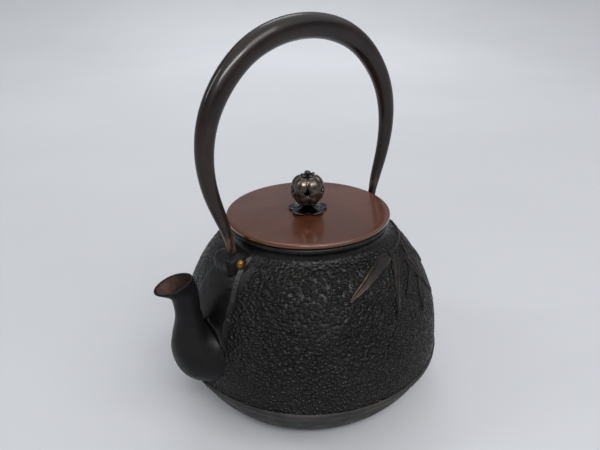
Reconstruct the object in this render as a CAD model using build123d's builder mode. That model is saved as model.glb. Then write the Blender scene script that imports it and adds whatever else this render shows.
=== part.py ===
from build123d import *
from math import cos, radians, sin
import os

os.makedirs("parts", exist_ok=True)

# Cast iron kettle with a flat copper lid and a tall bail handle, in millimetres.
# Z is up. The origin is the centre of the flat base. The spout points along -X and
# the handle stands in the XZ plane, so its two feet are on -X and +X.

# Kettle body: radius and height of the places that shape its outline.
base_radius = 52.0
band_radius = 80.0
band_height = 30.0
belly_radius = 79.2
waist_radius = 77.0
waist_height = 54.0
shoulder_radius = 63.7
shoulder_height = 85.5
neck_radius = 46.2
neck_height = 104.4
lip_radius = 47.6
lip_top = 109.7
mouth_radius = 42.0
wall = 3.2

# Lid.
lid_radius = 48.0
lid_bottom = 110.0
lid_thickness = 2.5
lid_top = lid_bottom + lid_thickness
collar_radius = 41.2
collar_depth = 8.0
sheet = 1.2

# Knob.
knob_middle = 124.9
knob_lobes = 5
lobe_offset = 4.0
lobe_radius = 6.1
lobe_height = 8.5
knob_skin = 0.9
rivet_radius = 1.5
stem_radius = 2.4
stem_top = 116.3
hub_bottom = 116.6
hub_radius = 3.1
hub_height = 3.4
seat_radius = 11.7
knob_groove_angle = -130.0
hole_rise = 1.9

# Handle.
arch_top = 213.8
arch_half = 64.9
tube_start = 112.0
crown_radius = 6.3
ankle_radius = 2.5
tube_taper = 0.7
tube_wall = 0.9
tube_start_length = 18.6
plug_length = 10.0

# Lugs and pins.
pin_reach = 54.0
pin_height = 99.9
pin_radius = 1.6
pin_head_radius = 2.5
pin_head_height = 1.5
lug_half = 8.6
lug_radius = 7.9
lug_recess_radius = 4.2
lug_recess = 1.6
boss_top = 110.2
gap = 0.15


def body_outline():
    """Outer outline of the body from the lip down to the middle of the base."""
    lip_low = (neck_radius, neck_height)
    Polyline((0, lip_top), (lip_radius - 2.2, lip_top))
    Spline(
        (lip_radius - 2.2, lip_top),
        (lip_radius, lip_top - 1.9),
        lip_low,
        tangents=((1, 0), (0.1, -1)),
    )
    Spline(
        lip_low,
        (50.6, 99.2),
        (shoulder_radius, shoulder_height),
        (72.2, 69.8),
        (waist_radius, waist_height),
        (belly_radius, band_height),
        tangents=((0.1, -1), (0.05, -1)),
    )
    Line((belly_radius, band_height), (band_radius, band_height - 0.6))
    Spline(
        (band_radius, band_height - 0.6),
        (77.6, 24.5),
        (74.9, 19.0),
        (71.6, 13.6),
        (67.6, 8.4),
        (62.0, 3.6),
        (56.6, 0.9),
        (base_radius, 0),
        tangents=((-0.3, -1), (-1, 0)),
    )
    Polyline((base_radius, 0), (0, 0), (0, lip_top))


def hollow_outline():
    """Inside outline of the body, a wall thickness in from the outer one."""
    Polyline((0, lip_top + 5), (mouth_radius, lip_top + 5), (mouth_radius, 103.2))
    Spline(
        (mouth_radius, 103.2),
        (46.8, 97.6),
        (shoulder_radius - 2.6, shoulder_height - 2.2),
        (69.2, 68.6),
        (waist_radius - wall, waist_height),
        (belly_radius - wall, band_height + 4),
        (72.1, 20.5),
        (68.9, 15.3),
        (65.3, 10.6),
        (60.2, 6.4),
        (base_radius - 2, wall + 0.6),
        tangents=((0.1, -1), (-1, 0)),
    )
    Polyline((base_radius - 2, wall + 0.6), (0, wall + 0.6), (0, lip_top + 5))


# The body as a solid lump, to fit the spout, the lugs and the feet against.
with BuildPart() as body_lump:
    with BuildSketch(Plane.XZ):
        with BuildLine():
            body_outline()
        make_face()
    revolve(axis=Axis.Z)


def oval(place, half_x, half_y):
    """Oval cross section that always starts on the same side."""
    ring = [radians(30 * i) for i in range(12)]
    with BuildSketch(place) as section:
        with BuildLine():
            Spline(*[(half_x * cos(a), half_y * sin(a)) for a in ring], periodic=True)
        make_face()
    return section.sketch


# Spout: each stop is its centre (x, z), its lean from upright and its two half widths.
spout_stops = (
    (-57.0, 47.5, 82, 19.5, 20.5),
    (-69.0, 48.5, 76, 18.5, 19.5),
    (-78.8, 50.4, 58, 16.0, 16.2),
    (-83.2, 57.8, 30, 12.4, 12.6),
    (-83.9, 67.0, 6, 8.6, 9.0),
    (-83.3, 76.0, -2, 6.9, 7.1),
    (-83.6, 85.0, 3, 6.9, 6.8),
    (-85.2, 91.4, 9, 7.9, 6.9),
    (-87.4, 94.3, 11, 9.2, 7.4),
    (-89.2, 96.2, 10, 10.4, 7.9),
)


def spout_sections(inset, lip_inset):
    """Cross sections of the spout, thinner by an inset that eases toward the lip."""
    sections = []
    last = len(spout_stops) - 1
    for i, (x, z, lean, half_x, half_y) in enumerate(spout_stops):
        cut = inset + (lip_inset - inset) * i / last
        along = (-sin(radians(lean)), 0, cos(radians(lean)))
        across = (cos(radians(lean)), 0, sin(radians(lean)))
        place = Plane(origin=(x, 0, z), x_dir=across, z_dir=along)
        sections.append(oval(place, half_x - cut, half_y - cut))
    return sections


# Bore of the spout, which also opens the kettle's wall behind it.
with BuildPart() as spout_bore:
    loft(spout_sections(3.4, 1.3))

with BuildPart() as spout:
    loft(spout_sections(0, 0))
    add(spout_bore.part, mode=Mode.SUBTRACT)
    add(body_lump.part, mode=Mode.SUBTRACT)
spout.part.label = "spout"
export_step(spout.part, "parts/spout.step")

# Bamboo spray cast on the shoulder: where each leaf starts and ends (bearing, height)
# and how wide it is. The first entries are the leaves, the last ones the stem.
spray = (
    ((-75.0, 97.3), (-111.0, 86.0), 9.0),
    ((-71.5, 95.0), (-89.5, 71.5), 5.2),
    ((-62.0, 87.5), (-79.0, 79.0), 4.2),
    ((-62.0, 92.0), (-55.5, 73.5), 4.6),
    ((-58.0, 90.5), (-48.5, 61.5), 5.6),
    ((-60.5, 80.5), (-70.5, 65.5), 4.4),
    ((-48.0, 93.5), (-36.0, 74.0), 5.0),
    ((-16.0, 97.2), (-44.0, 96.6), 3.6),
    ((-42.0, 96.8), (-70.0, 96.4), 3.0),
)
shoulder_line = (
    (neck_radius, neck_height),
    (50.6, 99.2),
    (shoulder_radius, shoulder_height),
    (72.2, 69.8),
    (waist_radius, waist_height),
)


def shoulder_radius_at(height):
    """Outer radius of the upper body at a height."""
    for (r1, z1), (r2, z2) in zip(shoulder_line, shoulder_line[1:]):
        if z2 <= height <= z1:
            return r1 + (r2 - r1) * (z1 - height) / (z1 - z2)
    return neck_radius


def on_shoulder(bearing, height):
    """Point on the upper body at a bearing and height."""
    radius = shoulder_radius_at(height)
    return Vector(
        radius * cos(radians(bearing)),
        radius * sin(radians(bearing)),
        height,
    )


with BuildPart() as spray_relief:
    for start, end, width in spray:
        root = on_shoulder(*start)
        tip = on_shoulder(*end)
        run = (tip - root).length
        middle = (root + tip) * 0.5
        out = Vector(middle.X, middle.Y, 0).normalized() + Vector(0, 0, 0.9)
        along = (tip - root).normalized()
        facing = (out - along * out.dot(along)).normalized()
        with BuildSketch(Plane(origin=middle, x_dir=along, z_dir=facing)):
            with BuildLine():
                ThreePointArc((-run / 2, 0), (-run * 0.1, width / 2), (run / 2, 0))
                ThreePointArc((run / 2, 0), (-run * 0.1, -width / 2), (-run / 2, 0))
            make_face()
        extrude(amount=14, both=True)
    with BuildSketch(Plane.XZ):
        with BuildLine():
            top = [(r + 0.7, z + 0.7) for r, z in shoulder_line[1:]]
            low = [(r - 1.6, z - 1.4) for r, z in shoulder_line[1:]]
            Spline(*top)
            Line(top[-1], low[-1])
            Spline(*low[::-1])
            Line(low[0], top[0])
        make_face()
    revolve(axis=Axis.Z, mode=Mode.INTERSECT)

with BuildPart() as kettle_shell:
    add(body_lump.part)
    add(spray_relief.part)
    with BuildSketch(Plane.XZ):
        with BuildLine():
            hollow_outline()
        make_face()
    revolve(axis=Axis.Z, mode=Mode.SUBTRACT)
    add(spout_bore.part, mode=Mode.SUBTRACT)
kettle_shell.part.label = "kettle_shell"
export_step(kettle_shell.part, "parts/kettle_shell.step")

# Centre line of the handle from the end of one foot over the crown to the other.
half_line = (
    (52.9, 93.6),
    (53.9, 104.0),
    (56.9, 118.0),
    (61.4, 132.0),
    (arch_half, 155.0),
    (60.4, 176.6),
    (51.3, 191.1),
    (37.4, 203.6),
    (19.6, 211.3),
)
handle_stops = (
    [(-x, z) for x, z in half_line]
    + [(0, arch_top)]
    + [(x, z) for x, z in half_line[::-1]]
)
with BuildLine(Plane.XZ) as handle_line:
    Spline(*handle_stops)
arch = handle_line.edge()
arch_length = arch.length


def handle_sections(start, stop, count, inset):
    """Cross sections of the handle between two distances along its centre line."""
    sections = []
    for i in range(count):
        distance = start + (stop - start) * i / (count - 1)
        here = arch.position_at(distance / arch_length)
        heading = arch.tangent_at(distance / arch_length)
        rise = max(here.Z - tube_start, 0) / (arch_top - tube_start)
        thick = ankle_radius + (crown_radius - ankle_radius) * rise**tube_taper - inset
        place = Plane(origin=here, x_dir=(0, 1, 0), z_dir=heading)
        sections.append(oval(place, thick * 0.97, thick * 1.03))
    return sections


bow_start = tube_start_length
bow_end = arch_length - tube_start_length
with BuildPart() as handle_bow:
    loft(handle_sections(bow_start, bow_end, 17, 0))
    loft(handle_sections(bow_start, bow_end, 17, tube_wall), mode=Mode.SUBTRACT)
handle_bow.part.label = "handle_bow"
export_step(handle_bow.part, "parts/handle_bow.step")


def foot_run(side):
    """Distances along the handle of a foot's end, its shoulder and its plug's end."""
    if side < 0:
        return 0, bow_start, bow_start + plug_length
    return arch_length, bow_end, bow_end - plug_length


def make_foot(side, label):
    """One foot of the handle, bored for its pin."""
    end, shoulder, plug_end = foot_run(side)
    with BuildPart() as foot:
        loft(handle_sections(end, shoulder, 5, 0))
        loft(handle_sections(shoulder, plug_end, 3, 1.05))
        add(body_lump.part, mode=Mode.SUBTRACT)
        with BuildSketch(Plane(origin=(side * pin_reach, 0, pin_height), z_dir=(0, 1, 0))):
            Circle(pin_radius + 0.05)
        extrude(amount=12, both=True, mode=Mode.SUBTRACT)
    foot.part.label = label
    export_step(foot.part, f"parts/{label}.step")


def make_lug(side, label):
    """Bamboo joint cast on the shoulder, with a socket for the foot of the handle."""
    centre = (side * pin_reach, 0, pin_height)
    across = Plane(origin=centre, x_dir=(0, 1, 0), z_dir=(1, 0, 0))
    with BuildPart() as lug:
        with BuildSketch(across):
            with BuildLine():
                Polyline(
                    (-lug_half, 0),
                    (-lug_half, lug_radius - 0.5),
                    (-lug_half + 0.6, lug_radius),
                    (-lug_half + 1.4, lug_radius - 0.2),
                )
                Spline(
                    (-lug_half + 1.4, lug_radius - 0.2),
                    (-4.6, lug_radius - 0.8),
                    (0, lug_radius + 0.4),
                    (4.6, lug_radius - 0.8),
                    (lug_half - 1.4, lug_radius - 0.2),
                )
                Polyline(
                    (lug_half - 1.4, lug_radius - 0.2),
                    (lug_half - 0.6, lug_radius),
                    (lug_half, lug_radius - 0.5),
                    (lug_half, 0),
                    (-lug_half, 0),
                )
            make_face()
        revolve(axis=Axis(centre, (0, 1, 0)))
        with BuildSketch(Plane.XY.offset(pin_height)):
            with Locations((side * (pin_reach + 0.6), 0)):
                Ellipse(6.4, 6.6)
        extrude(amount=boss_top - pin_height, taper=11)
        for end in (-1, 1):
            face = Plane(origin=(centre[0], end * lug_half, centre[2]), z_dir=(0, -end, 0))
            with BuildSketch(face):
                Circle(lug_recess_radius)
            extrude(amount=lug_recess, mode=Mode.SUBTRACT)
        with BuildSketch(Plane(origin=centre, z_dir=(0, 1, 0))):
            Circle(pin_radius + 0.05)
        extrude(amount=12, both=True, mode=Mode.SUBTRACT)
        add(body_lump.part, mode=Mode.SUBTRACT)
        end, shoulder, plug_end = foot_run(side)
        loft(handle_sections(end, shoulder, 5, -gap), mode=Mode.SUBTRACT)
    lug.part.label = label
    export_step(lug.part, f"parts/{label}.step")


def make_pin(side, label):
    """Brass pin that holds the foot of the handle in its lug."""
    seat = lug_half - lug_recess
    with BuildPart() as pin:
        with BuildSketch(Plane(origin=(side * pin_reach, 0, pin_height), z_dir=(0, 1, 0))):
            Circle(pin_radius)
        extrude(amount=seat, both=True)
        for end in (-1, 1):
            face = (side * pin_reach, end * seat, pin_height)
            with BuildSketch(Plane(origin=face, z_dir=(0, end, 0))):
                Circle(pin_head_radius)
            extrude(amount=pin_head_height)
        rings = pin.edges().filter_by(GeomType.CIRCLE).sort_by(Axis.Y)
        fillet([rings[0], rings[-1]], pin_head_height * 0.8)
    pin.part.label = label
    export_step(pin.part, f"parts/{label}.step")


make_foot(-1, "handle_front_foot")
make_foot(1, "handle_back_foot")
make_lug(-1, "front_lug")
make_lug(1, "back_lug")
make_pin(-1, "front_pin")
make_pin(1, "back_pin")

# Flat lid with eased edges, and the ring below it that centres it in the mouth.
with BuildPart() as lid_plate:
    with BuildSketch(Plane.XY.offset(lid_bottom)):
        Circle(lid_radius)
        Circle(rivet_radius + 0.08, mode=Mode.SUBTRACT)
    extrude(amount=lid_thickness)
    chamfer(lid_plate.edges().filter_by(GeomType.CIRCLE).sort_by(Edge.length)[-2:], 0.5)
lid_plate.part.label = "lid_plate"
export_step(lid_plate.part, "parts/lid_plate.step")

with BuildPart() as lid_collar:
    with BuildSketch(Plane.XY.offset(lid_bottom - collar_depth)):
        Circle(collar_radius)
        Circle(collar_radius - sheet, mode=Mode.SUBTRACT)
    extrude(amount=collar_depth)
lid_collar.part.label = "lid_collar"
export_step(lid_collar.part, "parts/lid_collar.step")

# Flower-shaped dish that the knob stands on.
with BuildPart() as knob_seat:
    with BuildSketch(Plane.XY.offset(lid_top)):
        Circle(7.0)
        with PolarLocations(6.5, 5, start_angle=knob_groove_angle + 36):
            Circle(seat_radius - 6.5)
        Circle(stem_radius + 0.3, mode=Mode.SUBTRACT)
    extrude(amount=4)
    with BuildSketch(Plane.XZ):
        with BuildLine():
            Polyline((0, lid_top + 0.9), (0, lid_top), (6.0, lid_top))
            Spline(
                (6.0, lid_top),
                (9.4, lid_top + 0.5),
                (12.4, lid_top + 2.2),
                tangents=((1, 0), (0.7, 0.7)),
            )
            Line((12.4, lid_top + 2.2), (11.8, lid_top + 2.8))
            Spline(
                (11.8, lid_top + 2.8),
                (9.0, lid_top + 1.4),
                (6.0, lid_top + 0.9),
                tangents=((-0.7, -0.7), (-1, 0)),
            )
            Line((6.0, lid_top + 0.9), (0, lid_top + 0.9))
        make_face()
    revolve(axis=Axis.Z, mode=Mode.INTERSECT)
knob_seat.part.label = "knob_seat"
export_step(knob_seat.part, "parts/knob_seat.step")


def knob_lobe_ring(inset, mode):
    """Ring of upright egg shapes that together make the plum-shaped knob."""
    wide = lobe_radius - inset
    tall = lobe_height - inset
    rim = [(wide * sin(radians(a)), tall * cos(radians(a))) for a in (0, 30, 60, 90, 120, 150, 180)]
    for i in range(knob_lobes):
        turn = radians(knob_groove_angle + 36 + 72 * i)
        centre = (lobe_offset * cos(turn), lobe_offset * sin(turn), knob_middle)
        with BuildSketch(Plane(origin=centre, x_dir=(1, 0, 0), z_dir=(0, -1, 0))) as lobe:
            with BuildLine():
                Spline(*rim, tangents=((1, 0), (-1, 0)))
                Line((0, -tall), (0, tall))
            make_face()
        revolve(lobe.sketch, axis=Axis(centre, (0, 0, 1)), mode=mode)


with BuildPart() as knob_lump:
    knob_lobe_ring(0, Mode.ADD)

with BuildPart() as knob_hollow:
    knob_lobe_ring(knob_skin, Mode.ADD)

with BuildPart() as knob_shell:
    add(knob_lump.part)
    add(knob_hollow.part, mode=Mode.SUBTRACT)
    with BuildSketch(Plane.XY.offset(hub_bottom)):
        Circle(hub_radius)
    extrude(amount=hub_height)
    with BuildSketch(Plane.XY.offset(lid_top)):
        Circle(rivet_radius + 0.02)
    extrude(amount=knob_middle - lid_top, mode=Mode.SUBTRACT)
    for i in range(knob_lobes):
        turn = radians(knob_groove_angle + 72 * i)
        look = (cos(turn), sin(turn), 0)
        with BuildSketch(Plane(origin=(0, 0, knob_middle + hole_rise), z_dir=look)):
            RegularPolygon(2.3, 3, rotation=0)
        extrude(amount=14, mode=Mode.SUBTRACT)
knob_shell.part.label = "knob_shell"
export_step(knob_shell.part, "parts/knob_shell.step")

with BuildPart() as knob_finial:
    with BuildSketch(Plane.XZ):
        with BuildLine():
            Polyline((0, 130.6), (2.9, 132.6), (3.2, 134.2), (1.6, 134.6), (1.1, 136.3), (0, 136.6))
            Line((0, 136.6), (0, 130.6))
        make_face()
    revolve(axis=Axis.Z)
    with BuildSketch(Plane.XY.offset(130)):
        with PolarLocations(3.5, 5, start_angle=knob_groove_angle + 36):
            Circle(0.9)
    extrude(amount=8, mode=Mode.SUBTRACT)
    add(knob_shell.part, mode=Mode.SUBTRACT)
knob_finial.part.label = "knob_finial"
export_step(knob_finial.part, "parts/knob_finial.step")

with BuildPart() as knob_rivet:
    with BuildSketch(Plane.XZ):
        with BuildLine():
            Polyline(
                (0, 107.6),
                (2.0, 107.6),
                (2.8, 108.1),
                (2.8, 108.7),
                (rivet_radius, 108.7),
                (rivet_radius, lid_top + 0.3),
                (stem_radius, lid_top + 0.3),
                (stem_radius, stem_top),
                (rivet_radius, stem_top),
                (rivet_radius, stem_top + 4.0),
                (0, stem_top + 4.0),
                (0, 107.6),
            )
        make_face()
    revolve(axis=Axis.Z)
knob_rivet.part.label = "knob_rivet"
export_step(knob_rivet.part, "parts/knob_rivet.step")

with BuildPart() as knob_washer:
    with BuildSketch(Plane.XY.offset(108.75)):
        Circle(4.6)
        Circle(rivet_radius + 0.05, mode=Mode.SUBTRACT)
    extrude(amount=0.95)
knob_washer.part.label = "knob_washer"
export_step(knob_washer.part, "parts/knob_washer.step")
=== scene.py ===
import math

import bmesh
import bpy
import numpy as np
from mathutils import Euler, Matrix, Vector, noise


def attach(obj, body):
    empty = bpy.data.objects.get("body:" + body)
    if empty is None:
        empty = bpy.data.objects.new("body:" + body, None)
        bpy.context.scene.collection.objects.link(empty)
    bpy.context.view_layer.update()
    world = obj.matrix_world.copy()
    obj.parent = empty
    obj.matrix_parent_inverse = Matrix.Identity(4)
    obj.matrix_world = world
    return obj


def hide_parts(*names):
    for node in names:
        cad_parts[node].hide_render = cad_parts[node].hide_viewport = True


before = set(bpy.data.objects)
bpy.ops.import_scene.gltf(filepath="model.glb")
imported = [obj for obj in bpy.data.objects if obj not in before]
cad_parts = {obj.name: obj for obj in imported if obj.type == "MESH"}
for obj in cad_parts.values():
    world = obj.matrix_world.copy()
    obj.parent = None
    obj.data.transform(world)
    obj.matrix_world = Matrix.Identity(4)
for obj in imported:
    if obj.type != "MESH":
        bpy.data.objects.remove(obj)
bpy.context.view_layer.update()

MM = 0.001

# Driving sizes in millimetres, in the CAD's frame: origin at the centre of the base, +Z up, spout along -X.
foot_reach = 54.0
foot_top = 112.0
arch_top = 213.8
lug_height = 96.6
lug_half = 8.9
pin_height = 98.4
pin_seat = 8.6
lid_bottom = 110.0
lid_top = 112.5
knob_middle = 124.9
# The heights between which the body's outline is read.
skin_low, skin_high = 31, 104
# Points closer than this, in metres, are one point.
weld = 2e-6


# ---------------------------------------------------------------- shape helpers

def smooth_line(points, step):
    """Points about a step apart on a natural cubic curve through the given ones."""
    knots = np.array(points, float)
    at = np.concatenate([[0], np.cumsum(np.linalg.norm(np.diff(knots, axis=0), axis=1))])
    total, gap = len(knots), np.diff(at)
    system, right = np.eye(total), np.zeros_like(knots)
    for i in range(1, total - 1):
        system[i, i - 1:i + 2] = gap[i - 1], 2 * (gap[i - 1] + gap[i]), gap[i]
        right[i] = 6 * ((knots[i + 1] - knots[i]) / gap[i] - (knots[i] - knots[i - 1]) / gap[i - 1])
    bend = np.linalg.solve(system, right)
    sample = np.linspace(0, at[-1], 60 * total)
    k = np.clip(np.searchsorted(at, sample, side="right") - 1, 0, total - 2)
    whole = gap[k][:, None]
    past = (sample - at[k])[:, None]
    ahead = whole - past
    curve = (bend[k] * ahead**3 + bend[k + 1] * past**3) / (6 * whole)
    curve += ((knots[k] / whole - bend[k] * whole / 6) * ahead
              + (knots[k + 1] / whole - bend[k + 1] * whole / 6) * past)
    run = np.concatenate([[0], np.cumsum(np.linalg.norm(np.diff(curve[:, :2], axis=0), axis=1))])
    stops = np.linspace(0, run[-1], max(2, int(round(run[-1] / step)) + 1))
    return np.stack([np.interp(stops, run, column) for column in curve.T], axis=1)


def full_turn(count):
    """Angles of a whole turn in even steps."""
    return np.linspace(0, 2 * math.pi, count, endpoint=False)


def unit_rows(vectors):
    """The vectors, each made one long."""
    return vectors / np.linalg.norm(vectors, axis=1, keepdims=True)


def grid_faces(rows, cols, closed):
    """Quads of a grid whose columns may close into a ring."""
    faces = []
    for i in range(rows - 1):
        for j in range(cols if closed else cols - 1):
            k = (j + 1) % cols
            faces.append((i * cols + j, i * cols + k, (i + 1) * cols + k, (i + 1) * cols + j))
    return faces


def make_piece(name, verts, faces, body, material, replaces=()):
    """A smooth mesh from points in millimetres, riding on a body."""
    mesh = bpy.data.meshes.new(name)
    mesh.from_pydata((np.asarray(verts, float) * MM).tolist(), [], faces)
    bm = bmesh.new()
    bm.from_mesh(mesh)
    bmesh.ops.remove_doubles(bm, verts=bm.verts, dist=weld)
    bmesh.ops.recalc_face_normals(bm, faces=bm.faces)
    bm.to_mesh(mesh)
    bm.free()
    mesh.polygons.foreach_set("use_smooth", [True] * len(mesh.polygons))
    mesh.materials.append(material)
    piece = bpy.data.objects.new(name, mesh)
    bpy.context.scene.collection.objects.link(piece)
    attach(piece, body)
    if replaces:
        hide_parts(*replaces)
    return piece


def lathe(profile, cols):
    """Points of a profile (radius, height) turned about Z, row by row, and their normals."""
    profile = np.asarray(profile, float)
    turn = full_turn(cols)
    along = np.gradient(profile, axis=0)
    along /= np.maximum(np.linalg.norm(along, axis=1, keepdims=True), 1e-9)
    c, s = np.cos(turn), np.sin(turn)
    pts = np.stack([profile[:, :1] * c, profile[:, :1] * s, profile[:, 1:2] + 0 * c], axis=2)
    out = np.stack([along[:, 1:2] * c, along[:, 1:2] * s, -along[:, :1] + 0 * c], axis=2)
    return pts.reshape(-1, 3), out.reshape(-1, 3)


def step_up(x, low, high):
    """0 below low, 1 above high, eased between."""
    t = np.clip((np.asarray(x, float) - low) / (high - low), 0, 1)
    return t * t * (3 - 2 * t)


def soft_noise(pts, size, seed=0.0):
    """Smooth noise of about -1 to 1 whose bumps are a size apart."""
    return np.array([noise.noise(Vector(p) / size + Vector((seed, seed, seed))) for p in pts])


def line_distance(pts, line):
    """Distance from each point to a run of straight pieces."""
    best = np.full(len(pts), 1e9)
    for start, end in zip(line, line[1:]):
        way = end - start
        share = np.clip(((pts - start) @ way) / (way @ way), 0, 1)
        best = np.minimum(best, np.linalg.norm(pts - start - share[:, None] * way, axis=1))
    return best


# ---------------------------------------------------------------- materials

def new_material(name, color, roughness, metallic=0.0, specular=0.5, coat=0.0, coat_roughness=0.1):
    """A material, its node tree and its shader node."""
    mat = bpy.data.materials.new(name)
    mat.use_nodes = True
    shader = mat.node_tree.nodes["Principled BSDF"]
    shader.inputs["Base Color"].default_value = (*color, 1)
    shader.inputs["Roughness"].default_value = roughness
    shader.inputs["Metallic"].default_value = metallic
    shader.inputs["Specular IOR Level"].default_value = specular
    shader.inputs["Coat Weight"].default_value = coat
    shader.inputs["Coat Roughness"].default_value = coat_roughness
    return mat, mat.node_tree, shader


def place(tree, scale=(1, 1, 1)):
    """Coordinates in the row frame, stretched."""
    coord = tree.nodes.new("ShaderNodeTexCoord")
    mapping = tree.nodes.new("ShaderNodeMapping")
    mapping.inputs["Scale"].default_value = scale
    tree.links.new(coord.outputs["Object"], mapping.inputs["Vector"])
    return mapping.outputs["Vector"]


def axes(tree, vector):
    """The X, Y and Z of a vector, as sockets."""
    split = tree.nodes.new("ShaderNodeSeparateXYZ")
    tree.links.new(vector, split.inputs[0])
    return split.outputs["X"], split.outputs["Y"], split.outputs["Z"]


def noise_tex(tree, vector, scale, detail=3.0, rough=0.55, distortion=0.0):
    """Noise of about 0.3 to 0.7 with a scale in bumps per metre."""
    tex = tree.nodes.new("ShaderNodeTexNoise")
    tex.inputs["Scale"].default_value = scale
    tex.inputs["Detail"].default_value = detail
    tex.inputs["Roughness"].default_value = rough
    tex.inputs["Distortion"].default_value = distortion
    tree.links.new(vector, tex.inputs["Vector"])
    return tex.outputs["Fac"]


def remap(tree, value, low, high, to_low=0.0, to_high=1.0):
    """A value eased from one range to another."""
    node = tree.nodes.new("ShaderNodeMapRange")
    node.interpolation_type = "SMOOTHSTEP"
    node.inputs["From Min"].default_value = low
    node.inputs["From Max"].default_value = high
    node.inputs["To Min"].default_value = to_low
    node.inputs["To Max"].default_value = to_high
    tree.links.new(value, node.inputs["Value"])
    return node.outputs["Result"]


def mix_color(tree, factor, low, high):
    """Mix of two colours or sockets by a factor."""
    node = tree.nodes.new("ShaderNodeMix")
    node.data_type = "RGBA"
    tree.links.new(factor, node.inputs[0])
    for socket, value in ((node.inputs[6], low), (node.inputs[7], high)):
        if isinstance(value, tuple):
            socket.default_value = (*value, 1)
        else:
            tree.links.new(value, socket)
    return node.outputs[2]


def math_node(tree, operation, *values):
    """The result of an operation on numbers or sockets."""
    node = tree.nodes.new("ShaderNodeMath")
    node.operation = operation
    for socket, value in zip(node.inputs, values):
        if isinstance(value, float):
            socket.default_value = value
        else:
            tree.links.new(value, socket)
    return node.outputs[0]


def multiply(tree, a, b):
    """One number or socket times another."""
    return math_node(tree, "MULTIPLY", a, b)


def bump(tree, shader, height, distance, strength=1.0, normal=None):
    """Fine relief of a height in metres, on top of an earlier bump if one is given."""
    node = tree.nodes.new("ShaderNodeBump")
    node.inputs["Distance"].default_value = distance
    node.inputs["Strength"].default_value = strength
    tree.links.new(height, node.inputs["Height"])
    if normal:
        tree.links.new(normal, node.inputs["Normal"])
    tree.links.new(node.outputs["Normal"], shader.inputs["Normal"])
    return node.outputs["Normal"]


def pointiness(tree, low, high):
    """1 on ridges and edges of the mesh, 0 in its hollows."""
    geometry = tree.nodes.new("ShaderNodeNewGeometry")
    return remap(tree, geometry.outputs["Pointiness"], low, high)


def vary_roughness(tree, shader, pattern, low, high):
    """Roughness that wanders between two values."""
    tree.links.new(remap(tree, pattern, 0.3, 0.7, low, high), shader.inputs["Roughness"])


def rough_ground(tree, here):
    """0 on the smooth ground above the spout, below the lugs and at the neck, 1 elsewhere."""
    x, y, z = axes(tree, here)
    front = multiply(tree, remap(tree, x, 0.01, -0.01), remap(tree, z, 0.036, 0.050))
    back = multiply(tree, remap(tree, x, -0.01, 0.01), remap(tree, z, 0.080, 0.088))
    near_middle = remap(tree, math_node(tree, "ABSOLUTE", y), 0.021, 0.014)
    smooth = multiply(tree, math_node(tree, "ADD", front, back), near_middle)
    below_neck = remap(tree, z, 0.104, 0.097)
    return multiply(tree, remap(tree, smooth, 1.0, 0.0), below_neck)


def iron_material(name, dark, light, roughness, grain, grain_depth, worn=(0.10, 0.075, 0.06), wear=0.5,
                  pebble_depth=0.0, specular=0.25):
    """Cast iron: mottled, with lighter ridges and a fine casting grain."""
    mat, tree, shader = new_material(name, dark, roughness, specular=specular)
    here = place(tree)
    clouds = noise_tex(tree, here, 38, 4, 0.6, 0.4)
    color = mix_color(tree, remap(tree, clouds, 0.35, 0.68), dark, light)
    patches = remap(tree, noise_tex(tree, here, 55, 3), 0.40, 0.68)
    ridges = multiply(tree, pointiness(tree, 0.50, 0.58), patches)
    color = mix_color(tree, multiply(tree, ridges, wear), color, worn)
    tree.links.new(color, shader.inputs["Base Color"])
    vary_roughness(tree, shader, noise_tex(tree, here, 120, 4, 0.6), roughness - 0.09, roughness + 0.12)
    grit = noise_tex(tree, here, grain, 5, 0.65, 0.3)
    normal = bump(tree, shader, grit, grain_depth)
    if pebble_depth:
        cells = tree.nodes.new("ShaderNodeTexVoronoi")
        cells.feature = "SMOOTH_F1"
        cells.inputs["Scale"].default_value = 520
        cells.inputs["Smoothness"].default_value = 0.35
        tree.links.new(place(tree, (1.0, 1.0, 1.25)), cells.inputs["Vector"])
        domes = remap(tree, cells.outputs["Distance"], 0.75, 0.05)
        bump(tree, shader, multiply(tree, domes, rough_ground(tree, here)), pebble_depth, 1.0, normal)
    return mat


pebbled_iron = iron_material("pebbled_iron", (0.0032, 0.0030, 0.0028), (0.0072, 0.0066, 0.0060), 0.31,
                             700, 0.0002, pebble_depth=0.0010, specular=0.20)
smooth_iron = iron_material("smooth_iron", (0.0044, 0.0044, 0.0048), (0.0085, 0.0083, 0.0087), 0.40,
                            420, 0.00012, wear=0.25, specular=0.12)
band_iron = iron_material("band_iron", (0.019, 0.018, 0.017), (0.036, 0.035, 0.033), 0.55,
                          520, 0.00025, specular=0.18)
inner_iron = iron_material("inner_iron", (0.030, 0.024, 0.020), (0.075, 0.045, 0.030), 0.62, 380, 0.0003)
leaf_iron = iron_material("leaf_iron", (0.0060, 0.0054, 0.0050), (0.0115, 0.0096, 0.0086), 0.38,
                          500, 0.0001, worn=(0.085, 0.058, 0.044), wear=0.6, specular=0.17)
worn_leaf = iron_material("worn_leaf", (0.0070, 0.0056, 0.0050), (0.0165, 0.0115, 0.0095), 0.36,
                          500, 0.0001, worn=(0.30, 0.17, 0.11), wear=0.95, specular=0.20)


def rust_and_shade_material():
    """Brown rust inside the spout, with painted shade making it darker further down."""
    mat, tree, shader = new_material("spout_lining", (0.14, 0.05, 0.03), 0.55)
    here = place(tree)
    patches = remap(tree, noise_tex(tree, here, 160, 4, 0.6, 0.6), 0.38, 0.62)
    color = mix_color(tree, patches, (0.020, 0.014, 0.012), (0.060, 0.024, 0.017))
    # Painted shade: below the mouth the lining is mixed towards near black, darkest deep in the spout.
    near_mouth = remap(tree, axes(tree, here)[2], 0.078, 0.093)
    color = mix_color(tree, near_mouth, (0.016, 0.009, 0.008), color)
    tree.links.new(color, shader.inputs["Base Color"])
    bump(tree, shader, noise_tex(tree, here, 700, 4), 0.0002)
    return mat


spout_rust_and_shade = rust_and_shade_material()


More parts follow.
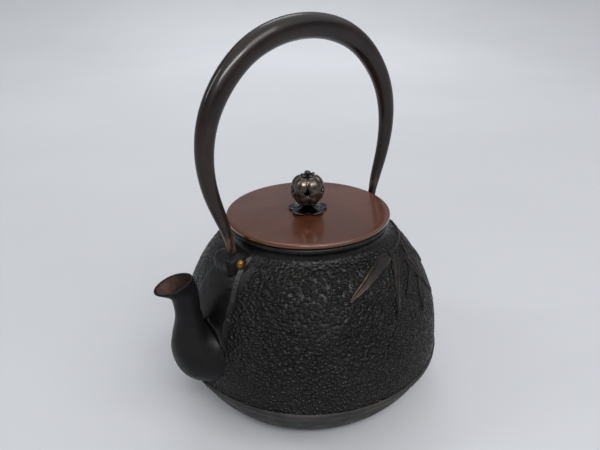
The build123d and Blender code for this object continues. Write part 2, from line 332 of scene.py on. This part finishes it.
def lacquer_material():
    """Smooth dark brown lacquer with faint brushed unevenness, rubbed browner near its feet."""
    mat, tree, shader = new_material("handle_lacquer", (0.02, 0.013, 0.012), 0.30, specular=0.17,
                                     coat=0.40, coat_roughness=0.11)
    here = place(tree)
    patches = remap(tree, noise_tex(tree, here, 30, 4, 0.6, 0.5), 0.36, 0.66)
    color = mix_color(tree, patches, (0.0070, 0.0040, 0.0036), (0.016, 0.0085, 0.0068))
    near_foot = remap(tree, axes(tree, here)[2], 0.128, 0.104)
    flecks = remap(tree, noise_tex(tree, place(tree, (1, 1, 0.25)), 420, 4), 0.44, 0.62)
    color = mix_color(tree, multiply(tree, near_foot, flecks), color, (0.090, 0.044, 0.026))
    tree.links.new(color, shader.inputs["Base Color"])
    vary_roughness(tree, shader, noise_tex(tree, here, 90, 4), 0.24, 0.40)
    bump(tree, shader, noise_tex(tree, here, 75, 2, 0.4), 0.00022, 0.6)
    return mat


handle_lacquer = lacquer_material()


def copper_material():
    """Dark brown patinated copper under a clear polish, a little more orange along its edge."""
    mat, tree, shader = new_material("lid_copper", (0.12, 0.04, 0.02), 0.36, metallic=0.35, specular=0.12,
                                     coat=1.0, coat_roughness=0.13)
    here = place(tree)
    clouds = noise_tex(tree, here, 24, 4, 0.6, 0.6)
    color = mix_color(tree, remap(tree, clouds, 0.34, 0.66), (0.068, 0.0190, 0.0080), (0.106, 0.0320, 0.0138))
    reach = tree.nodes.new("ShaderNodeVectorMath")
    reach.operation = "LENGTH"
    tree.links.new(place(tree, (1, 1, 0)), reach.inputs[0])
    at_edge = remap(tree, reach.outputs["Value"], 0.0475, 0.0479)
    color = mix_color(tree, at_edge, color, (0.095, 0.034, 0.011))
    tree.links.new(color, shader.inputs["Base Color"])
    vary_roughness(tree, shader, noise_tex(tree, here, 60, 5, 0.65), 0.28, 0.40)
    streaks = noise_tex(tree, place(tree, (30, 420, 30)), 6, 4, 0.6)
    bump(tree, shader, streaks, 0.00003, 0.5)
    return mat


lid_copper = copper_material()


def bronze_material(name, dark, light, roughness):
    """Bronze in lighter and darker patches, darkest in its hollows."""
    mat, tree, shader = new_material(name, dark, roughness, metallic=1.0)
    here = place(tree)
    worn = remap(tree, noise_tex(tree, here, 260, 4, 0.6, 0.4), 0.36, 0.66)
    color = mix_color(tree, worn, dark, light)
    color = mix_color(tree, pointiness(tree, 0.40, 0.50), (0.02, 0.012, 0.010), color)
    tree.links.new(color, shader.inputs["Base Color"])
    vary_roughness(tree, shader, noise_tex(tree, here, 340, 3), roughness - 0.05, roughness + 0.1)
    bump(tree, shader, noise_tex(tree, here, 900, 3), 0.00004, 0.6)
    return mat


knob_bronze = bronze_material("knob_bronze", (0.060, 0.049, 0.041), (0.155, 0.125, 0.103), 0.25)
seat_bronze = bronze_material("seat_bronze", (0.040, 0.037, 0.038), (0.080, 0.072, 0.070), 0.15)
finial_bronze = bronze_material("finial_bronze", (0.035, 0.037, 0.04), (0.09, 0.09, 0.095), 0.30)
pin_brass = bronze_material("pin_brass", (0.13, 0.062, 0.022), (0.30, 0.16, 0.055), 0.40)


# ---------------------------------------------------------------- kettle body

# Outlines as (radius, height) in millimetres.
skin_line = [(79.2, 30.0), (79.15, 31.0), (77.0, 54.0), (72.2, 69.8), (63.7, 85.5), (50.6, 99.2),
             (46.35, 103.4), (46.2, 104.4)]
lip_line = [(46.2, 104.4), (46.5, 106.0), (47.3, 107.1), (47.6, 108.0), (47.2, 109.1), (46.2, 109.6),
            (45.0, 109.7), (43.2, 109.7), (42.3, 109.4), (42.0, 108.6), (42.0, 104.0)]
skin_profile = smooth_line(skin_line, 0.70)
lip_profile = smooth_line(lip_line, 0.45)
by_height = skin_profile[np.argsort(skin_profile[:, 1])]


def skin_radius(height):
    """Radius of the upper body at a height."""
    return np.interp(height, by_height[:, 1], by_height[:, 0])


def on_skin(bearing, height, lift=0.0):
    """Point on the upper body at a bearing in degrees and a height, lifted off it."""
    radius = skin_radius(height)
    slope = skin_radius(height + 0.5) - skin_radius(height - 0.5)
    out = np.array([1.0, -slope]) / math.hypot(1.0, slope)
    turn = math.radians(bearing)
    r = radius + out[0] * lift
    return np.array([r * math.cos(turn), r * math.sin(turn), height + out[1] * lift])


# Height, and half width in degrees, of the smooth ground round the spout and below the back lug.
smooth_front = ((20, 0), (32, 6), (38, 12), (47, 17), (58, 21), (67, 20), (76, 17), (85, 15.5), (92, 15),
                (112, 16))
smooth_back = ((20, 0), (76, 0), (83, 8), (89, 14), (95, 18), (112, 20))
# Height, and half width in millimetres, of the raised apron that runs down from each lug.
apron_front = ((58, 15.5), (66, 16), (74, 15.5), (82, 14), (90, 11.2), (97, 8.8), (104, 8.4))
apron_back = ((76, 15), (82, 13.5), (90, 11.2), (97, 8.8), (104, 8.4))
apron_rise = 1.7
pebble_rise = 0.62
# Raised scrolls above the spout's root, mirrored left and right: (bearing, height) points, rise, spread.
scrolls = (
    (((-176.6, 68.7), (-171.3, 67.0), (-168.8, 63.3), (-167.7, 60.1)), 1.0, 1.15),
    (((-167.0, 73.5), (-162.0, 70.1)), 0.55, 0.9),
)


def pebble_height(pts):
    """Height of the pebbled casting skin: domed grains that run together sideways near the top."""
    heights = np.empty(len(pts))
    for i, p in enumerate(pts):
        v = Vector(p)
        warp = noise.noise(v / 7.0) * 1.6
        stretch = 1.95 + 0.65 * min(max((v.z - 58) / 26, 0), 1)
        cell = Vector((v.x / stretch, v.y / stretch, (v.z + warp) / 1.75))
        near, _ = noise.voronoi(cell)
        dome = min(max((near[1] - near[0]) / 0.55, 0), 1)
        heights[i] = 0.72 * dome * (2 - dome) + 0.40 * noise.noise(v / 1.7) + 0.18 * noise.noise(v / 4.2)
    return heights


def skin_relief(pts):
    """How far the casting stands out from its plain turned outline."""
    bearing = np.degrees(np.arctan2(pts[:, 1], pts[:, 0]))
    height = pts[:, 2]
    from_spout = 180 - np.abs(bearing)
    front = np.interp(height, *zip(*smooth_front))
    back = np.interp(height, *zip(*smooth_back))
    rough = step_up(from_spout, front - 1.5, front + 4.5) * step_up(np.abs(bearing), back - 2, back + 5)
    rough *= 1 - step_up(height, 97.5, 103.0)
    rough *= 0.45 + 0.55 * step_up(height, 30.5, 40)
    relief = pebble_rise * rough * (pebble_height(pts) - 0.35)
    relief += 0.08 * soft_noise(pts, 13.0, 5.0)
    relief += 0.07 * (1 - rough) * soft_noise(pts, 3.0, 9.0)
    for side, apron, low in ((-1, apron_front, 58), (1, apron_back, 78)):
        half = np.interp(height, *zip(*apron)) + 0.25 * soft_noise(pts, 5.0, 11.0)
        inside = step_up(half - np.abs(pts[:, 1]), -1.5, 0.4) * (pts[:, 0] * side > 0)
        relief += apron_rise * inside * step_up(height, low, low + 16) * (1 - step_up(height, 99, 103))
    for side in (-1, 1):
        for line, rise, spread in scrolls:
            path = [on_skin(b * side, z) for b, z in line]
            relief += rise * np.exp(-((line_distance(pts, path) / spread) ** 2))
    return relief


def make_skin(columns):
    """The pebbled body above the band, with its neck and lip."""
    pts, out = lathe(skin_profile, columns)
    pts = pts + out * skin_relief(pts)[:, None]
    lip_pts, lip_out = lathe(lip_profile[1:], columns)
    lip_pts = lip_pts + lip_out * (0.08 * soft_noise(lip_pts, 4.0, 2.0))[:, None]
    rows = len(skin_profile) + len(lip_profile) - 1
    make_piece("kettle_skin", np.concatenate([pts, lip_pts]), grid_faces(rows, columns, True),
               "kettle", pebbled_iron, ["kettle_shell"])


def make_band(columns):
    """The smooth lower band, its ledge and the base."""
    band_line = [(79.25, 30.2), (79.7, 29.95), (79.9, 29.4), (77.6, 24.5), (74.9, 19.0), (71.6, 13.6),
                 (67.6, 8.4), (62.0, 3.6), (56.6, 0.9), (52.0, 0.05)]
    base_line = [(51, 0.0), (49.5, 0.0), (48.5, 0.35), (46, 0.5), (34, 0.5), (22, 0.5), (10, 0.5),
                 (0.01, 0.5)]
    profile = np.concatenate([smooth_line(band_line, 0.75), base_line])
    pts, out = lathe(profile, columns)
    grain = 0.16 * soft_noise(pts, 1.9, 3.0) + 0.12 * soft_noise(pts, 5.0, 4.0)
    pts = pts + out * (step_up(pts[:, 2], 0.6, 4) * grain)[:, None]
    make_piece("kettle_band", pts, grid_faces(len(profile), columns, True),
               "kettle", band_iron)


def make_hollow(columns):
    """The inside of the kettle, seen when the lid is up."""
    hollow_line = [(42.0, 104.2), (42.6, 101.0), (46.8, 97.6), (61.1, 83.3), (69.2, 68.6), (73.8, 54.0),
                   (76.0, 34.0), (72.1, 20.5), (68.9, 15.3), (65.3, 10.6), (60.2, 6.4), (50.0, 3.8),
                   (30.0, 3.7), (0.01, 3.7)]
    profile = smooth_line(hollow_line, 2.0)
    pts, out = lathe(profile, columns)
    pts = pts + out * (0.25 * soft_noise(pts, 5.0, 6.0))[:, None]
    make_piece("kettle_hollow", pts, grid_faces(len(profile), columns, True),
               "kettle", inner_iron)


make_skin(640)
make_band(560)
make_hollow(180)


# ---------------------------------------------------------------- leaf spray

# What one degree of bearing measures on the shoulder, in millimetres.
degree_width = 1.1


def shoulder_line(line, step):
    """Bearings and heights about a step apart along a line on the shoulder."""
    spine = smooth_line([(b * degree_width, z) for b, z in line], step)
    spine[:, 0] /= degree_width
    return spine


def make_leaf(name, line, width, rise, iron=leaf_iron):
    """A bamboo leaf lying on the shoulder, with raised edges and a sunk middle."""
    spine = shoulder_line(line, 0.55)
    rows = len(spine)
    centre = np.array([on_skin(b, z) for b, z in spine])
    along = unit_rows(np.gradient(centre, axis=0))
    across = np.linspace(-1, 1, 25)
    section = np.interp(np.abs(across), (0, 0.12, 0.3, 0.62, 0.82, 0.92, 1.0),
                        (0.62, 0.48, 0.55, 0.72, 1.0, 0.85, -0.7))
    verts = []
    for i in range(rows):
        s = i / (rows - 1)
        half = width / 2 * (1 - s) ** 0.62 * min(1, 0.35 + 3.2 * s) ** 0.8 + 0.08
        normal = on_skin(spine[i, 0], spine[i, 1], 1.0) - centre[i]
        side = np.cross(normal, along[i])
        side /= np.linalg.norm(side)
        for u, h in zip(across, section):
            p = centre[i] + side * half * u
            turn = math.degrees(math.atan2(p[1], p[0]))
            height = min(max(p[2], skin_low), skin_high)
            tip = min(1, (1 - s) * 5 + 0.25) * min(1, s * 6 + 0.3)
            wave = 0.12 * noise.noise(Vector((s * 9, u * 2.0, len(name) * 3.1)))
            verts.append(on_skin(turn, height, 0.18 + rise * tip * (h + wave)))
    make_piece(name, verts, grid_faces(rows, len(across), False), "kettle", iron)


# Name, line of (bearing, height) points from stem to tip, width, rise, and the iron where it is worn bare.
leaves = (
    ("leaf_low", ((-75.5, 97.2), (-87.5, 95.8), (-98.5, 92.3), (-105.5, 89.2), (-111.0, 86.1)), 8.4, 1.1,
     worn_leaf),
    ("leaf_long", ((-70.5, 96.0), (-75.2, 92.4), (-79.6, 88.6), (-85.9, 79.2), (-89.5, 71.3)), 4.6, 0.8),
    ("leaf_side", ((-60.5, 86.6), (-66.5, 85.2), (-71.5, 83.2), (-78.3, 79.3)), 4.0, 0.7),
    ("leaf_short", ((-62.2, 92.2), (-62.3, 85.2), (-60.2, 80.0), (-55.5, 73.3)), 4.4, 0.8),
    ("leaf_back", ((-58.0, 90.5), (-57.4, 79.6), (-54.0, 71.0), (-48.3, 61.2)), 5.4, 0.8),
    ("leaf_mid", ((-60.2, 80.8), (-65.8, 74.0), (-70.6, 65.3)), 4.0, 0.7),
    ("leaf_rear", ((-48.0, 94.0), (-43.5, 87.0), (-39.0, 79.5), (-36.0, 73.5)), 5.0, 0.8),
)
for leaf in leaves:
    make_leaf(*leaf)


def make_twig(name, line, thick):
    """A jointed bamboo twig lying on the shoulder."""
    spine = shoulder_line(line, 0.7)
    centre = np.array([on_skin(b, z, 0.15) for b, z in spine])
    along = unit_rows(np.gradient(centre, axis=0))
    run = np.concatenate([[0], np.cumsum(np.linalg.norm(np.diff(centre, axis=0), axis=1))])
    sides = 14
    verts = []
    for i in range(len(spine)):
        normal = on_skin(spine[i, 0], spine[i, 1], 1.0) - on_skin(spine[i, 0], spine[i, 1])
        side = np.cross(normal, along[i])
        side /= np.linalg.norm(side)
        taper = thick * (1 - 0.45 * i / len(spine))
        joint = 1 + 0.35 * math.exp(-(((run[i] % 9.0) - 4.5) / 0.6) ** 2)
        for a in full_turn(sides):
            verts.append(centre[i] + (side * math.cos(a) + normal * math.sin(a) * 0.8) * taper * joint)
    make_piece(name, verts, grid_faces(len(spine), sides, True), "kettle", leaf_iron)


make_twig("twig_main", [(-9, 96.8), (-22, 96.2), (-36, 96.8), (-50, 97.0), (-62, 97.2), (-74, 97.4)], 1.25)
make_twig("twig_low", [(-50, 97.0), (-55.5, 93.5), (-60, 88.5), (-60.5, 81.5)], 0.95)
make_twig("twig_rear", [(-30, 96.5), (-38.5, 95.6), (-47, 94.6)], 0.9)


# ---------------------------------------------------------------- spout

# Along the spout's middle line: x, z, lean in degrees, half width in the plane of the spout and across it.
spout_stops = [
    (-57.0, 47.5, 82, 19.5, 20.5), (-69.0, 48.5, 76, 18.5, 19.5), (-78.8, 50.4, 58, 16.0, 16.2),
    (-83.2, 57.8, 30, 12.4, 12.6), (-83.9, 67.0, 6, 8.6, 9.0), (-83.3, 76.0, -2, 6.9, 7.1),
    (-83.6, 85.0, 3, 6.9, 6.8), (-85.2, 91.4, 9, 7.9, 6.9), (-87.4, 94.3, 11, 9.2, 7.4),
    (-89.2, 96.2, 10, 10.4, 7.9),
]
spout_run = smooth_line(spout_stops, 0.65)
spout_turn = full_turn(96)
# The skin and the lining start at these rings of the run, inside the kettle.
spout_start, lining_start = 18, 7


def spout_ring(stop, inset, lift=0.0):
    """Oval ring of the spout at a stop, drawn in by an inset and lifted along the flow."""
    x, z, lean, half_x, half_y = stop
    lean = math.radians(lean)
    across = np.array([math.cos(lean), 0, math.sin(lean)])
    along = np.array([-math.sin(lean), 0, math.cos(lean)])
    centre = np.array([x, 0, z]) + along * lift
    return np.array([centre + across * (half_x - inset) * math.cos(a)
                     + np.array([0, half_y - inset, 0]) * math.sin(a) for a in spout_turn])


def make_spout():
    """The spout's skin, flared where it meets the body, with its rolled lip."""
    rows, middles = [], []
    for stop in spout_run[spout_start:]:
        loop = spout_ring(stop, 0)
        middle = np.array([stop[0], 0, stop[1]])
        stand = np.hypot(loop[:, 0], loop[:, 1]) - skin_radius(loop[:, 2])
        flare = 2.0 * np.clip(1 - np.clip(stand, 0, None) / 6.0, 0, 1) ** 2
        flare *= np.clip(0.2 + (loop[:, 2] - 38) / 18, 0.2, 1)
        rows.append(loop + unit_rows(loop - middle) * flare[:, None])
        middles.append(middle)
    for inset, lift in ((0.05, 0.35), (0.35, 0.62), (0.75, 0.62), (1.1, 0.4)):
        rows.append(spout_ring(spout_run[-1], inset, lift))
        middles.append(middles[-1])
    pts = np.concatenate(rows)
    away = unit_rows(pts - np.repeat(middles, len(spout_turn), axis=0))
    pts = pts + away * (0.28 * soft_noise(pts, 9.0, 1.0) + 0.06 * soft_noise(pts, 2.2, 7.0))[:, None]
    make_piece("spout_skin", pts, grid_faces(len(rows), len(spout_turn), True),
               "kettle", smooth_iron, ["spout"])


def make_spout_lining():
    """The inside of the spout, whose wall thins towards the mouth."""
    root_wall, mouth_wall = 3.4, 1.3
    rows = []
    last = len(spout_run) - 1
    for i in range(last, lining_start - 1, -1):
        wall = root_wall + (mouth_wall - root_wall) * i / last
        rows.append(spout_ring(spout_run[i], wall, 0.35 if i == last else 0.0))
    pts = np.concatenate(rows)
    pts[:, 1] += 0.15 * soft_noise(pts, 3.0, 8.0)
    make_piece("spout_lining", pts, grid_faces(len(rows), len(spout_turn), True),
               "kettle", spout_rust_and_shade)


make_spout()
make_spout_lining()


# ---------------------------------------------------------------- handle

def make_handle():
    """The tapered bail with both its feet."""
    half_line = [(52.9, 93.6), (53.9, 104.0), (56.9, 118.0), (61.4, 132.0), (64.9, 155.0), (60.4, 176.6),
                 (51.3, 191.1), (37.4, 203.6), (19.6, 211.3)]
    arch = smooth_line([(-x, z) for x, z in half_line] + [(0, arch_top)] + half_line[::-1], 1.2)
    foot_thick, top_thick = 2.5, 6.3
    sides = 56
    verts = []
    for i, (x, z) in enumerate(arch):
        before, after = arch[max(i - 1, 0)], arch[min(i + 1, len(arch) - 1)]
        heading = (after - before) / np.linalg.norm(after - before)
        rise = max(z - foot_top, 0) / (arch_top - foot_top)
        thick = foot_thick + (top_thick - foot_thick) * rise**0.7
        radial = np.array([-heading[1], 0, heading[0]])
        wobble = 0.10 * noise.noise(Vector((x / 16, z / 16, 3.0)))
        for a in full_turn(sides):
            oval = radial * thick * 1.03 * math.cos(a) + np.array([0, thick * 0.97 * math.sin(a), 0])
            verts.append(np.array([x, 0, z]) + oval * (1 + wobble * 0.1))
    make_piece("handle", verts, grid_faces(len(arch), sides, True), "kettle",
               handle_lacquer, ["handle_bow", "handle_front_foot", "handle_back_foot"])


make_handle()


# ---------------------------------------------------------------- lugs and pins

def make_lug(side, name, node):
    """Bamboo joint cast on the shoulder, with a raised socket round the foot of the handle."""
    rows, cols = 61, 120
    collar_radius, collar_top = 4.2, 103.3
    middle = np.array([side * foot_reach, 0, lug_height])
    verts = []
    for t in np.linspace(-math.pi / 2, math.pi / 2, rows):
        y = lug_half * math.sin(t)
        share = max(1 - abs(math.sin(t)) ** 6, 0) ** (1 / 4.5) * 7.4 + 0.01
        for a in full_turn(cols):
            r = share * (abs(math.cos(a)) ** 3.2 + abs(math.sin(a)) ** 3.2) ** (-1 / 3.2)
            verts.append((middle[0] + r * math.cos(a), y, middle[2] + 0.84 * r * math.sin(a)))
    verts = np.array(verts)
    spread = np.hypot((verts[:, 0] - side * 54.6) / collar_radius, verts[:, 1] / collar_radius)
    collar = collar_top - 0.9 * spread**2
    verts[:, 2] = np.where(verts[:, 2] > 100.5, np.maximum(verts[:, 2], collar), verts[:, 2])
    away = verts - middle
    away[:, 1] = 0
    away /= np.maximum(np.linalg.norm(away, axis=1, keepdims=True), 1e-6)
    stand = np.hypot(verts[:, 0], verts[:, 1]) - skin_radius(np.clip(verts[:, 2], skin_low, skin_high))
    outer = np.hypot(verts[:, 0] - middle[0], verts[:, 2] - middle[2]) > 4.6
    flare = 1.6 * np.clip(1 - np.abs(stand) / 4.0, 0, 1) ** 2 * outer
    verts += away * flare[:, None]
    grain = 0.16 * soft_noise(verts, 3.2, 2.0) + 0.07 * soft_noise(verts, 1.1, 4.0)
    verts += away * (grain * outer)[:, None]
    make_piece(name, verts, grid_faces(rows, cols, True), "kettle", smooth_iron, [node])


def make_pin(side, name, node):
    """Domed brass heads of the pin through the foot."""
    verts, faces = [], []
    dome = [(2.8, -1.8), (2.95, -0.3), (2.85, 0.6), (2.5, 1.3), (1.9, 1.85), (1.0, 2.2), (0.01, 2.3)]
    profile = smooth_line(dome, 0.22)
    sides = 48
    for end in (-1, 1):
        start = len(verts)
        for r, h in profile:
            for a in full_turn(sides):
                dent = 1 + 0.07 * noise.noise(Vector((math.cos(a) * r, math.sin(a) * r, h * 2 + end)) * 0.8)
                verts.append((side * foot_reach + r * dent * math.cos(a), end * (pin_seat + h * dent),
                              pin_height + r * dent * math.sin(a)))
        faces += [tuple(start + k for k in f) for f in grid_faces(len(profile), sides, True)]
    make_piece(name, verts, faces, "kettle", pin_brass, [node])


make_lug(-1, "lug_front", "front_lug")
make_lug(1, "lug_back", "back_lug")
make_pin(-1, "pin_front", "front_pin")
make_pin(1, "pin_back", "back_pin")


# ---------------------------------------------------------------- lid

def make_lid(columns):
    """The flat copper disc with its rounded edge."""
    top = [(0.01, 112.42), (12, 112.42), (30, 112.46)]
    edge = [(44, lid_top), (46.8, lid_top), (47.5, 112.36), (47.9, 111.95), (48.0, 111.4), (47.95, 110.7),
            (47.6, 110.2), (46.9, 110.02), (45.5, lid_bottom)]
    underside = [(20, lid_bottom), (1.6, lid_bottom)]
    profile = np.concatenate([top, smooth_line(edge, 0.25), underside])
    pts, _ = lathe(profile, columns)
    make_piece("lid", pts, grid_faces(len(profile), columns, True),
               "lid", lid_copper, ["lid_plate"])


make_lid(256)


# ---------------------------------------------------------------- knob

# Bearing in degrees of one of the five grooves, and the angle from one to the next.
groove = -130.0
fifth = 72
# How far from the knob's middle its grooves run, in millimetres.
groove_radius = 9.0


def lobe_bearing(i):
    """Bearing of a lobe in radians, halfway between two grooves."""
    return math.radians(groove + fifth / 2 + fifth * i)


def groove_offset(turn):
    """Angle from the nearest groove."""
    step = math.radians(fifth)
    return (turn - math.radians(groove) + step / 2) % step - step / 2


def seat_radius(turn):
    """Outline of the five petals under the knob."""
    best = 7.0
    for i in range(5):
        a = lobe_bearing(i) - turn
        inside = 5.2**2 - (6.5 * math.sin(a)) ** 2
        if inside > 0:
            best = max(best, 6.5 * math.cos(a) + math.sqrt(inside))
    return best


def make_seat(columns):
    """The flower-shaped dish: rings by their share of its outline and height above the lid."""
    rings = ((0.24, 3.3), (0.32, 3.0), (0.42, 2.35), (0.52, 1.75), (0.62, 1.3), (0.72, 1.02), (0.82, 0.92),
             (0.90, 1.0), (0.96, 1.14), (1.0, 1.2), (1.015, 1.1), (1.01, 0.9), (0.98, 0.6), (0.93, 0.36),
             (0.84, 0.18), (0.74, 0.08), (0.6, 0.03), (0.5, 0.02))
    verts = []
    for share, height in rings:
        for a in full_turn(columns):
            r = seat_radius(a) * share
            verts.append((r * math.cos(a), r * math.sin(a), lid_top + height))
    make_piece("seat_petals", verts, grid_faces(len(rings), columns, True),
               "lid", seat_bronze, ["knob_seat"])


def knob_reach(direction):
    """Distance from the knob's middle to its skin along a direction: five egg lobes run together."""
    lobe_out, lobe_wide, lobe_tall = 4.0, 6.1, 8.5
    dx, dy, dz = direction
    reach = 0.0
    for i in range(5):
        cx, cy = lobe_out * math.cos(lobe_bearing(i)), lobe_out * math.sin(lobe_bearing(i))
        qa = (dx * dx + dy * dy) / lobe_wide**2 + dz * dz / lobe_tall**2
        qb = -2 * (dx * cx + dy * cy) / lobe_wide**2
        qc = (cx * cx + cy * cy) / lobe_wide**2 - 1
        root = (-qb + math.sqrt(qb * qb - 4 * qa * qc)) / (2 * qa)
        reach += root**60
    return (reach / 1.1) ** (1 / 60)


def star_depth(turn, height):
    """Below 0 inside the star-shaped hole at the middle of each groove."""
    x, y = groove_offset(turn) * groove_radius, height - 0.3
    spike = 2.05 * (1 + 0.20 * math.cos(5 * math.atan2(x, y)))
    return math.hypot(x, y) - spike


def make_knob(turns, tilts):
    """The openwork knob: five lobes, creased grooves and a star cut in each groove."""
    verts, solid = [], []
    for i in range(tilts + 1):
        tilt = math.pi * i / tilts
        for j in range(turns):
            turn = 2 * math.pi * j / turns
            d = (math.sin(tilt) * math.cos(turn), math.sin(tilt) * math.sin(turn), math.cos(tilt))
            r = knob_reach(d)
            edge = star_depth(turn, r * d[2])
            aside = groove_offset(turn) * groove_radius * math.sin(tilt)
            crease = math.exp(-((aside / 0.55) ** 2))
            crease *= math.sin(tilt) ** 1.5
            r -= 0.5 * math.exp(-((max(edge, 0) / 0.9) ** 2)) + 0.45 * crease
            verts.append((r * d[0], r * d[1], knob_middle + r * d[2]))
            solid.append(edge > 0)
    faces = [f for f in grid_faces(tilts + 1, turns, True) if any(solid[k] for k in f)]
    knob = make_piece("knob", verts, faces, "knob", knob_bronze, ["knob_shell"])
    shell = knob.modifiers.new("skin", "SOLIDIFY")
    shell.thickness = 0.9 * MM
    shell.offset = -1


def finial_stub(sides):
    """The lumpy stem of the crown on the knob."""
    outline = [(0.01, 130.2), (1.6, 130.6), (1.9, 132.6), (1.5, 133.9), (1.75, 134.9), (1.3, 135.9),
               (0.01, 136.4)]
    points = []
    for r, z in smooth_line(outline, 0.25):
        for a in full_turn(sides):
            lump = 1 + 0.18 * math.cos(5 * a + z) + 0.15 * noise.noise(Vector((math.cos(a), math.sin(a), z)))
            points.append((r * lump * math.cos(a), r * lump * math.sin(a), z))
    return points


def finial_leaf(k, sides):
    """One of the five small leaves of the crown, each a little different."""
    turn = math.radians(groove + fifth / 2 + fifth * k + 9 * math.sin(k * 2.3))
    reach = 3.4 + 0.5 * math.sin(k * 1.7 + 0.6)
    points = []
    for i in range(13):
        s = i / 12
        r = 0.9 + reach * s
        z = 133.1 + 1.2 * math.sin(s * 2.6) + 0.35 * math.sin(k * 2.1) * s
        width = 1.35 * math.sin(math.pi * (0.12 + 0.86 * s)) ** 0.7 + 0.05
        for a in full_turn(sides):
            w, h = width * math.cos(a), 0.32 * math.sin(a)
            points.append((r * math.cos(turn) - w * math.sin(turn), r * math.sin(turn) + w * math.cos(turn),
                           z + h - 0.35 * abs(w)))
    return points


def make_finial():
    """The small crown on the knob."""
    verts, faces = [], []
    for points, sides in [(finial_stub(30), 30)] + [(finial_leaf(k, 12), 12) for k in range(5)]:
        start = len(verts)
        verts += points
        faces += [tuple(start + k for k in f) for f in grid_faces(len(points) // sides, sides, True)]
    make_piece("finial", verts, faces, "knob", finial_bronze, ["knob_finial"])


make_seat(200)
make_knob(300, 150)
make_finial()

# Pieces whose CAD shape is right get their finish here.
for node, material in (("lid_collar", lid_copper), ("knob_rivet", seat_bronze), ("knob_washer", seat_bronze)):
    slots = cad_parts[node].data.materials
    for i in range(len(slots)):
        slots[i] = material


# ---------------------------------------------------------------- floor, light, camera

def make_stage():
    """A pale floor that curves up into a round wall far from the kettle."""
    profile = [(0.0001, 0), (0.3, 0), (0.8, 0), (1.6, 0)]
    profile += [(1.6 + 2.0 * math.sin(a), 2.0 - 2.0 * math.cos(a)) for a in np.linspace(0.06, 1.45, 26)]
    pts, _ = lathe(profile, 96)
    mesh = bpy.data.meshes.new("floor")
    mesh.from_pydata(pts.tolist(), [], grid_faces(len(profile), 96, True))
    mesh.polygons.foreach_set("use_smooth", [True] * len(mesh.polygons))
    floor = bpy.data.objects.new("floor", mesh)
    bpy.context.scene.collection.objects.link(floor)
    mat, tree, shader = new_material("floor_grey", (0.45, 0.46, 0.48), 0.6, specular=0.2)
    patches = remap(tree, noise_tex(tree, place(tree), 1.6, 3), 0.3, 0.7)
    tone = mix_color(tree, patches, (0.44, 0.447, 0.465), (0.465, 0.472, 0.49))
    tree.links.new(tone, shader.inputs["Base Color"])
    mesh.materials.append(mat)


def make_world():
    """A sky that is dark low down and brightest almost overhead."""
    world = bpy.data.worlds.new("studio")
    bpy.context.scene.world = world
    world.use_nodes = True
    sky = world.node_tree
    aim = sky.nodes.new("ShaderNodeTexCoord")
    lean = sky.nodes.new("ShaderNodeVectorMath")
    lean.operation = "DOT_PRODUCT"
    lean.inputs[1].default_value = (0.17, -0.22, 0.96)
    sky.links.new(aim.outputs["Generated"], lean.inputs[0])
    height = remap(sky, lean.outputs["Value"], 0.14, 0.92)
    dome = mix_color(sky, height, (0.03, 0.03, 0.032), (0.90, 0.915, 0.95))
    sky.links.new(dome, sky.nodes["Background"].inputs["Color"])


def area_light(name, at, aim, width, length, power, color, spread=180):
    """A rectangular lamp of a size in metres and a spread in degrees, aimed at a point."""
    lamp = bpy.data.lights.new(name, "AREA")
    lamp.shape = "RECTANGLE"
    lamp.size = width
    lamp.size_y = length
    lamp.energy = power
    lamp.color = color
    lamp.spread = math.radians(spread)
    ob = bpy.data.objects.new(name, lamp)
    bpy.context.scene.collection.objects.link(ob)
    ob.location = at
    ob.rotation_euler = (Vector(aim) - Vector(at)).to_track_quat("-Z", "Y").to_euler()


def make_camera():
    """The photo's view: seen from the spout's side, above, and slightly tilted."""
    lens = bpy.data.cameras.new("camera")
    lens.lens = 31.26
    lens.sensor_width = 36
    lens.clip_start = 0.01
    lens.clip_end = 60
    camera = bpy.data.objects.new("camera", lens)
    bpy.context.scene.collection.objects.link(camera)
    aim = Euler((math.radians(65.38), 0, math.radians(-39.07))).to_matrix()
    tilt = Matrix.Rotation(math.radians(-1.15), 3, "Z")
    camera.rotation_euler = (aim @ tilt).to_euler()
    camera.location = (-0.18229, -0.21694, 0.23203)
    bpy.context.scene.camera = camera


make_stage()
make_world()
area_light("key", (0.30, -1.35, 1.75), (0, 0, 0.08), 0.9, 0.9, 12, (1.0, 0.985, 0.96))
area_light("window", (-0.80, -1.40, 1.85), (0, 0, 0.10), 1.5, 0.40, 34, (0.98, 0.99, 1.0))
area_light("wall", (0.98, 1.15, 1.8), (1.05, 1.30, 0.0), 0.9, 0.9, 10, (0.98, 0.99, 1.0), spread=110)
area_light("left", (-1.5, 1.1, 1.7), (0, 0, 0.15), 0.25, 0.9, 9, (0.97, 0.98, 1.0))
make_camera()
bpy.context.scene.view_settings.view_transform = "Standard"
